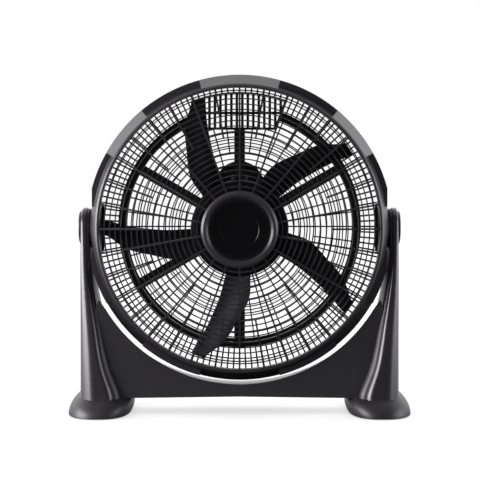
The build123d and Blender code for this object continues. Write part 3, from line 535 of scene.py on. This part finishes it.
@dataclass
class Studio:
    """Camera, light and floor.

    Attributes:
        camera_place: Where the camera stands, in metres.
        camera_drop: How far it looks down, in degrees.
        camera_lens: Focal length in mm on a sensor 36 mm wide.
        room_level: Brightness of the room as it lights the fan.
        room_front: Brightness that the fan mirrors from in front.
        room_back: Brightness that it mirrors from beside and behind.
        dim_from: Where one turns into the other, as the depth of a direction of length 1.
        floor_glow: How much white the floor adds to its own colour under the fan.
        shade_reach: How far from the fan the floor's contact shadow reaches, in metres.
        shade_depth: How dark that shadow is where it is darkest.
        floor_half: Half the floor's width, in metres.
        floor_fade: Distances from the fan's middle between which the floor turns fully white.
        floor_mirror: Depths between which the floor starts to show white in glossy surfaces.
        floor_roughness: Roughness of the floor.
    """

    camera_place: tuple[float, float, float] = (0.0007, -2.565, 0.4427)
    camera_drop: float = 2.953
    camera_lens: float = 106.7
    room_level: float = 0.2
    room_front: float = 0.12
    room_back: float = 1.0
    dim_from: tuple[float, float] = (-0.3, 0.15)
    floor_glow: float = 0.95
    shade_reach: float = 0.1
    shade_depth: float = 0.45
    floor_half: float = 8.0
    floor_fade: tuple[float, float] = (0.4, 1.1)
    floor_mirror: tuple[float, float] = (-0.2, 0.3)
    floor_roughness: float = 0.8

    def build(self) -> None:
        """Make the whole studio."""
        self.make_camera()
        self.make_world()
        self.make_floor()
        for panel in PANELS:
            self.make_light(panel)

    def make_camera(self) -> None:
        """Set the camera at the photograph's viewing angle."""
        camera = bpy.data.objects.new("camera", bpy.data.cameras.new("camera"))
        camera.data.lens = self.camera_lens
        camera.data.sensor_width = 36.0
        camera.location = self.camera_place
        camera.rotation_euler = (math.radians(90 - self.camera_drop), 0, 0)
        bpy.context.collection.objects.link(camera)
        bpy.context.scene.camera = camera

    def make_world(self) -> None:
        """Surround the fan with white, which it mirrors brightly from behind and dimly from in front."""
        world = bpy.data.worlds.new("studio")
        world.use_nodes = True
        world.cycles.sampling_method = "NONE"
        graph = ShaderGraph.of_tree(world.node_tree)
        direction = graph.add("ShaderNodeTexCoord").outputs["Generated"]
        depth = graph.add("ShaderNodeSeparateXYZ", Vector=direction).outputs["Y"]
        mirrored = graph.fade(depth, self.dim_from, (self.room_front, self.room_back))
        ray = graph.add("ShaderNodeLightPath")
        glossy = graph.math("ADD", ray.outputs["Is Glossy Ray"], ray.outputs["Is Transmission Ray"])
        level = graph.mix_values(glossy, self.room_level, mirrored)
        level = graph.mix_values(ray.outputs["Is Camera Ray"], level, 1.0)
        white = graph.add("ShaderNodeBackground", Color=(1, 1, 1, 1), Strength=level)
        graph.add("ShaderNodeOutputWorld", Surface=white.outputs["Background"])
        bpy.context.scene.world = world
        bpy.context.scene.view_settings.view_transform = "Standard"

    def make_floor(self) -> None:
        """Lay a plain white floor that fades into the white around it and keeps the fan's shadow."""
        corners = np.array([(-1, -1, 0), (1, -1, 0), (1, 1, 0), (-1, 1, 0)]) * self.floor_half
        mesh = make_mesh("floor", corners, [[0, 1, 2, 3]])
        floor = bpy.data.objects.new("floor", mesh)
        graph = ShaderGraph("floor")
        place = graph.add("ShaderNodeTexCoord").outputs["Object"]
        distance = graph.add("ShaderNodeVectorMath", operation="LENGTH")
        graph.tree.links.new(place, distance.inputs[0])
        far = graph.fade(distance.outputs["Value"], self.floor_fade, (self.floor_glow, 1.0))
        depth = graph.add("ShaderNodeSeparateXYZ", Vector=place).outputs["Y"]
        behind = graph.fade(depth, self.floor_mirror, (0.0, 1.0))
        near = graph.add("ShaderNodeAmbientOcclusion", Distance=self.shade_reach, samples=16)
        shade = graph.mix_values(self.shade_depth, 1.0, near.outputs["AO"])
        ray = graph.add("ShaderNodeLightPath")
        glossy = graph.math("ADD", ray.outputs["Is Glossy Ray"], ray.outputs["Is Transmission Ray"])
        mirrored = graph.math("MULTIPLY", glossy, behind)
        seen = graph.math("MAXIMUM", ray.outputs["Is Camera Ray"], mirrored)
        plain = graph.add(
            "ShaderNodeBsdfPrincipled",
            Base_Color=linear(Tone.FLOOR),
            Roughness=self.floor_roughness,
            Emission_Color=(1, 1, 1, 1),
            Emission_Strength=graph.math("MULTIPLY", graph.math("MULTIPLY", far, shade), seen),
        )
        graph.add("ShaderNodeOutputMaterial", Surface=plain.outputs["BSDF"])
        mesh.materials.append(graph.material)
        bpy.context.collection.objects.link(floor)

    def make_light(self, panel: Panel) -> None:
        """Hang one soft light that faces the fan.

        Args:
            panel: The light's place, size and power.
        """
        lamp = bpy.data.lights.new(panel.name, "AREA")
        lamp.shape = "RECTANGLE"
        lamp.size = panel.width
        lamp.size_y = panel.height
        lamp.energy = panel.power
        light = bpy.data.objects.new(panel.name, lamp)
        light.visible_camera = False
        light.visible_glossy = panel.mirrored
        turn, rise = math.radians(panel.azimuth), math.radians(panel.elevation)
        away = (math.sin(turn) * math.cos(rise), -math.cos(turn) * math.cos(rise), math.sin(rise))
        light.location = [a * panel.distance + (0, 0, AXIS_HEIGHT)[k] for k, a in enumerate(away)]
        light.rotation_euler = (math.pi / 2 - rise, 0, turn)
        bpy.context.collection.objects.link(light)


@dataclass
class RearFace:
    """Lays small raised details on the back of the fan's head.

    Attributes:
        material: Material of the details.
        depth: Where the surface that they lie on is, as y in metres.
    """

    material: bpy.types.Material
    depth: float

    def place(self, points: np.ndarray, x: float, z: float, turn: float = 0.0) -> np.ndarray:
        """Turn flat points to lie on the surface.

        Args:
            points: Points drawn as seen from behind, with z away from the surface.
            x: Where their middle lies across the fan.
            z: Where it lies above the floor.
            turn: How far they are turned clockwise seen from behind, in degrees.

        Returns:
            The points in the fan's frame.
        """
        angle = math.radians(turn)
        right = points[:, 0] * math.cos(angle) + points[:, 1] * math.sin(angle)
        up = -points[:, 0] * math.sin(angle) + points[:, 1] * math.cos(angle)
        return np.column_stack([x - right, self.depth + points[:, 2], z + up])

    def finish(
        self, name: str, parts: list[tuple[np.ndarray, list]], body: str = "head"
    ) -> bpy.types.Object:
        """Join parts into one piece that rides on a body.

        Args:
            name: Name of the piece.
            parts: Points and faces of each part, in the fan's frame.
            body: The body that carries it.

        Returns:
            The piece.
        """
        faces, start = [], 0
        for points, sides in parts:
            faces += [[start + k for k in side] for side in sides]
            start += len(points)
        mesh = make_mesh(name, np.vstack([points for points, _ in parts]), faces)
        piece = bpy.data.objects.new(name, mesh)
        piece.data.materials.append(self.material)
        bpy.context.collection.objects.link(piece)
        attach(piece, body)
        LOG.info("%s of %d faces rides on %s", name, len(faces), body)
        return piece


@dataclass(frozen=True)
class Dial:
    """Marks and numbers round the speed knob.

    Attributes:
        middle: Height of the knob's middle above the floor, in metres.
        step: Angle between two speeds, in degrees.
        speeds: How many places the knob has.
        mark_radius: Where the marks' middles lie.
        number_radius: Where the numbers' middles lie.
        pointer_radius: Where the middle of the line on the knob lies.
        pointer_length: Length of that line.
        pointer_width: Its width.
        parts: Into how many parts the short marks divide a step.
        long_mark: Length of a speed's mark.
        short_mark: Length of a mark between speeds.
        mark_width: Width of both.
        number_height: Size of the numbers.
        relief: How far all of them stand up.
        bevel: Bevel round the top of the marks.
    """

    middle: float = 0.408
    step: float = 45.0
    speeds: int = 4
    mark_radius: float = 0.0235
    number_radius: float = 0.0315
    pointer_radius: float = 0.0125
    pointer_length: float = 0.009
    pointer_width: float = 0.0012
    parts: int = 3
    long_mark: float = 0.005
    short_mark: float = 0.0025
    mark_width: float = 0.001
    number_height: float = 0.008
    relief: float = 0.0003
    bevel: float = 0.0001

    def spot(self, radius: float, turn: float) -> tuple[float, float]:
        """Find a place round the knob.

        Args:
            radius: Distance from its middle.
            turn: Degrees clockwise from the top, seen from behind.

        Returns:
            The place's x and z.
        """
        angle = math.radians(turn)
        return -radius * math.sin(angle), self.middle + radius * math.cos(angle)

    def marks(self, face: RearFace) -> list[tuple[np.ndarray, list]]:
        """Draw a long mark at each speed and short ones between them.

        Args:
            face: The surface that they lie on.

        Returns:
            Points and faces of each mark.
        """
        plates = []
        for k in range((self.speeds - 1) * self.parts + 1):
            turn = k * self.step / self.parts
            length = self.short_mark if k % self.parts else self.long_mark
            points, faces = prism(rounded_bar(length, self.mark_width), self.relief, self.bevel)
            x, z = self.spot(self.mark_radius, turn)
            plates.append((face.place(points, x, z, turn - 90), faces))
        return plates

    def pointer(self, face: RearFace) -> list[tuple[np.ndarray, list]]:
        """Draw the line on the knob's grip that points at a speed.

        Args:
            face: The top of the grip.

        Returns:
            Points and faces of the line.
        """
        outline = rounded_bar(self.pointer_length, self.pointer_width)
        points, faces = prism(outline, self.relief, self.bevel)
        x, z = self.spot(self.pointer_radius, 0.0)
        return [(face.place(points, x, z, -90.0), faces)]

    def numbers(self, face: RearFace) -> list[tuple[np.ndarray, list]]:
        """Write each speed's number; at off there is only the mark, because a screw sits above it.

        Args:
            face: The surface that they lie on.

        Returns:
            Points and faces of each number.
        """
        plates = []
        for k in range(1, self.speeds):
            text = bpy.data.curves.new("number", "FONT")
            text.body = str(k)
            text.size = self.number_height
            text.extrude = self.relief / 2
            text.align_x = text.align_y = "CENTER"
            carrier = bpy.data.objects.new("number", text)
            mesh = bpy.data.meshes.new_from_object(carrier)
            points = np.empty(3 * len(mesh.vertices))
            mesh.vertices.foreach_get("co", points)
            points = points.reshape(-1, 3) + (0, 0, self.relief / 2)
            faces = [list(polygon.vertices) for polygon in mesh.polygons]
            x, z = self.spot(self.number_radius, k * self.step)
            plates.append((face.place(points, x, z), faces))
            bpy.data.objects.remove(carrier)
            bpy.data.meshes.remove(mesh)
        return plates


@dataclass(frozen=True)
class Louvres:
    """Raised ribs over the motor on the rear cover.

    Attributes:
        radius: How far out the ribs' ends lie from the fan's axis, in metres.
        pitch: Distance between ribs.
        width: Width of a rib.
        relief: How far it stands up.
        bevel: Bevel round its top.
        count: How many ribs there are.
    """

    radius: float = 0.043
    pitch: float = 0.0075
    width: float = 0.0032
    relief: float = 0.0012
    bevel: float = 0.0006
    count: int = 10

    def ribs(self, face: RearFace) -> list[tuple[np.ndarray, list]]:
        """Shape the ribs.

        Args:
            face: The surface that they lie on.

        Returns:
            Points and faces of each rib.
        """
        plates = []
        for k in range(self.count):
            drop = (k - (self.count - 1) / 2) * self.pitch
            length = 2 * math.sqrt(self.radius**2 - drop**2)
            points, faces = prism(rounded_bar(length, self.width), self.relief, self.bevel)
            plates.append((face.place(points, 0.0, AXIS_HEIGHT + drop), faces))
        return plates


@dataclass(frozen=True)
class Screw:
    """A pan-head screw with a cross recess.

    Attributes:
        head_radius: Radius of the head, in metres.
        head_height: How far the head stands up.
        rim: Share of that height at the head's upright rim.
        shank_radius: Radius of the shank.
        recess_radius: How far the cross reaches from the middle.
        arm_half_width: Half the width of the cross's arms.
        recess_depth: Depth of the cross.
        slope: Width of the cross's sloping walls.
        columns: Points round each row.
        rows: Rows of points over the head's dome.
        first_turn: How far the first screw of a node stands turned, in degrees.
        next_turn: How much further each next one stands.
    """

    head_radius: float = 0.0035
    head_height: float = 0.002
    rim: float = 0.45
    shank_radius: float = 0.00175
    recess_radius: float = 0.0021
    arm_half_width: float = 0.0003
    recess_depth: float = 0.0011
    slope: float = 0.00025
    columns: int = 72
    rows: int = 18
    first_turn: float = 20.0
    next_turn: float = 37.0

    def shape(self, length: float) -> tuple[np.ndarray, list]:
        """Turn the screw's profile round its axis and press the cross into its head.

        The profile runs from the tip up the shank, out under the head, up its rim and over a quarter of an
        ellipse. The cross takes its depth from the height wherever the smaller of |x| and |y| is within an
        arm's half width, and falls to nothing over the width of a wall.

        Args:
            length: Length of the shank.

        Returns:
            Points and faces, with the underside of the head at z 0.
        """
        turn = np.linspace(0, np.pi / 2, self.rows)
        tip, shank = self.shank_radius / 2, self.shank_radius
        low = self.head_height * self.rim
        radii = np.concatenate([[tip, shank, shank, self.head_radius], self.head_radius * np.cos(turn)])
        radii[-1] = self.slope / 4
        heights = np.concatenate(
            [[-length, tip - length, 0, 0], low + (self.head_height - low) * np.sin(turn)]
        )
        angle = np.linspace(0, 2 * np.pi, self.columns, endpoint=False)
        x, y = np.outer(radii, np.cos(angle)), np.outer(radii, np.sin(angle))
        z = np.repeat(heights[:, None], self.columns, axis=1)
        arm = np.clip((self.arm_half_width + self.slope - np.minimum(abs(x), abs(y))) / self.slope, 0, 1)
        reach = np.clip((self.recess_radius - np.hypot(x, y)) / (2 * self.slope), 0, 1)
        z -= np.where(z > low, self.recess_depth * arm * reach, 0)
        points = np.stack([x, y, z], axis=-1).reshape(-1, 3)
        return points, closed_rows(len(radii), self.columns)

    def set_in(self, node: str, places: list[tuple[float, float]], material: bpy.types.Material) -> None:
        """Make the screws of a CAD node, each turned its own way.

        Args:
            node: Name of the node that they replace.
            places: The screws' x and z.
            material: Their material.
        """
        (_, tip, _), (_, top, _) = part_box(node)
        face = RearFace(material, top - self.head_height)
        parts = []
        for k, (x, z) in enumerate(places):
            points, faces = self.shape(face.depth - tip)
            parts.append((face.place(points, x, z, self.first_turn + self.next_turn * k), faces))
        piece = face.finish(f"{node}_recessed", parts)
        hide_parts(node)


@dataclass
class Fan:
    """The dressed fan.

    Attributes:
        materials: Built materials by finish.
    """

    materials: dict[str, bpy.types.Material] = field(default_factory=dict)

    def finish_nodes(self) -> None:
        """Give every CAD node its material."""
        for name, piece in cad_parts.items():
            finish = NODE_FINISH.get(name, "satin_abs")
            piece.data.materials.clear()
            piece.data.materials.append(self.materials[finish])
            LOG.info("%s is %s", name, finish)

    def dress_back(self) -> None:
        """Add the rear cover's dial and ribs and the knob's mark."""
        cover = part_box("motor_cover")[1][1]
        marking = RearFace(self.materials["printed_ink"], cover)
        plain = RearFace(self.materials["satin_abs"], cover)
        knob = RearFace(self.materials["printed_ink"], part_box("speed_knob")[1][1])
        dial = Dial()
        marking.finish("dial_marks", dial.marks(marking) + dial.numbers(marking))
        plain.finish("cover_louvres", Louvres().ribs(plain))
        knob.finish("knob_mark", dial.pointer(knob), "knob")

    def dress_screws(self) -> None:
        """Put screws with recesses in the place of the cover's and the guard's plain ones."""
        screw = Screw()
        steel = self.materials["zinc_steel"]
        (left, _, low), (right, _, high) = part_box("cover_screws")
        inset = screw.head_radius
        lower = [(left + inset, low + inset), (right - inset, low + inset)]
        screw.set_in("cover_screws", [*lower, (0.0, high - inset)], steel)
        (left, _, low), (right, _, high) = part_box("guard_screws")
        places = [(x, z) for x in (left + inset, right - inset) for z in (low + inset, high - inset)]
        screw.set_in("guard_screws", places, steel)

    def build(self) -> None:
        """Make the materials and dress the fan."""
        self.materials = {name: make_material(name, finish) for name, finish in FINISHES.items()}
        self.finish_nodes()
        self.dress_back()
        self.dress_screws()


def write_sizes() -> None:
    """Update the view layer.
    """
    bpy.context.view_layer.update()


def main() -> None:
    """Build the scene."""
    logging.basicConfig(level=logging.INFO)
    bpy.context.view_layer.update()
    Studio().build()
    Fan().build()
    write_sizes()


if __name__ == "__main__":
    main()
